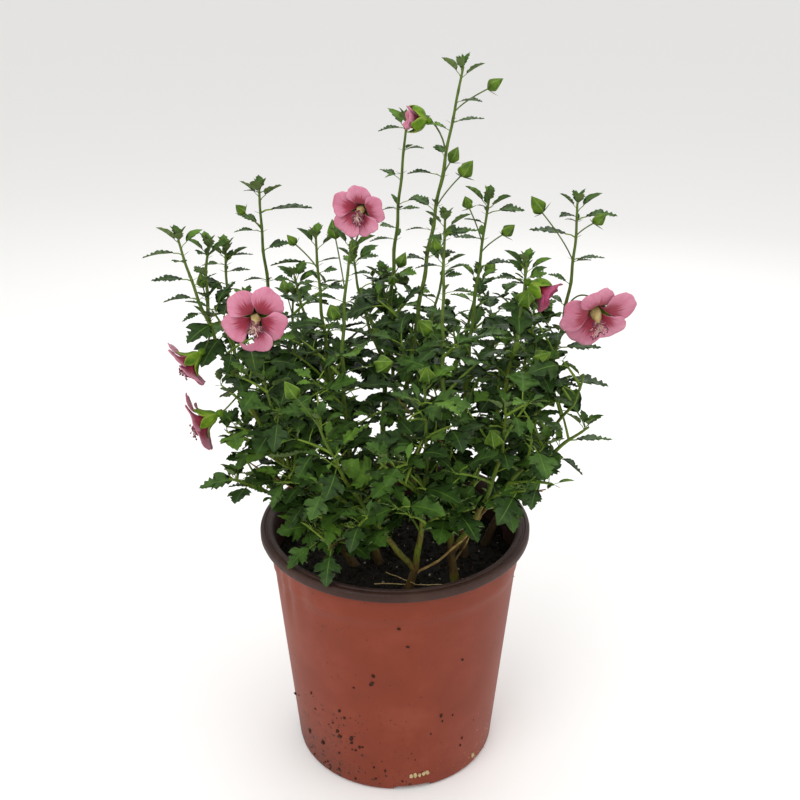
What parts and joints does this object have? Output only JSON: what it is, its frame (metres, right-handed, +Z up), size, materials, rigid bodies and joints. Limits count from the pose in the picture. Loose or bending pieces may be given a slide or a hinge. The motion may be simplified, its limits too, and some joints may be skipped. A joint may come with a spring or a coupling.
{
  "type": "potted cape mallow shrub",
  "caption": "Bushy flowering mallow shrub in a round plastic nursery pot, with slender leafy shoots, pointed buds and pink five-petalled flowers.",
  "frame": {"origin": "centre of the pot's flat underside", "axes": "+Z up along the pot's axis; +X to the plant's right as it is seen from the front, which looks along +Y"},
  "size_m": [0.2743, 0.2321, 0.4437],
  "materials": {
    "pot_plastic": "thin moulded brick-red polypropylene with a dark brown rim, scuffed and specked with soil",
    "potting_soil": "moist dark peat potting mix, crumbly and matt",
    "green_wood": "brown woody bark at the foot that turns yellow-green higher up",
    "dead_wood": "dry grey-brown dead twig",
    "foliage": "dark green lobed leaves, pale green buds and pink petals with a crimson throat"
  },
  "bodies": {
    "root": {"pot": "pot_plastic", "soil": "potting_soil", "stem_tall": "green_wood", "stem_high": "green_wood", "stem_left_mid": "green_wood", "stem_left": "green_wood", "stem_slim": "green_wood", "stem_inner": "green_wood", "stem_middle": "green_wood", "stem_right_mid": "green_wood", "stem_right": "green_wood", "stem_front": "green_wood", "stem_back": "green_wood", "bough_back_left": "green_wood", "bough_low_left": "green_wood", "bough_front_left": "green_wood", "bough_front_right": "green_wood", "bough_right_inner": "green_wood", "bough_low_right": "green_wood", "bough_back_right": "green_wood", "bough_far_right": "green_wood", "bough_low_front": "green_wood", "dead_twig_front": "dead_wood", "dead_twig_left": "dead_wood", "foliage_tall": "foliage", "foliage_high": "foliage", "foliage_left_mid": "foliage", "foliage_left": "foliage", "foliage_slim": "foliage", "foliage_inner": "foliage", "foliage_middle": "foliage", "foliage_right_mid": "foliage", "foliage_right": "foliage", "foliage_front": "foliage", "foliage_back": "foliage", "foliage_back_left": "foliage", "foliage_low_left": "foliage", "foliage_front_left": "foliage", "foliage_front_right": "foliage", "foliage_right_inner": "foliage", "foliage_low_right": "foliage", "foliage_back_right": "foliage", "foliage_far_right": "foliage", "foliage_low_front": "foliage"}
  },
  "joints": []
}
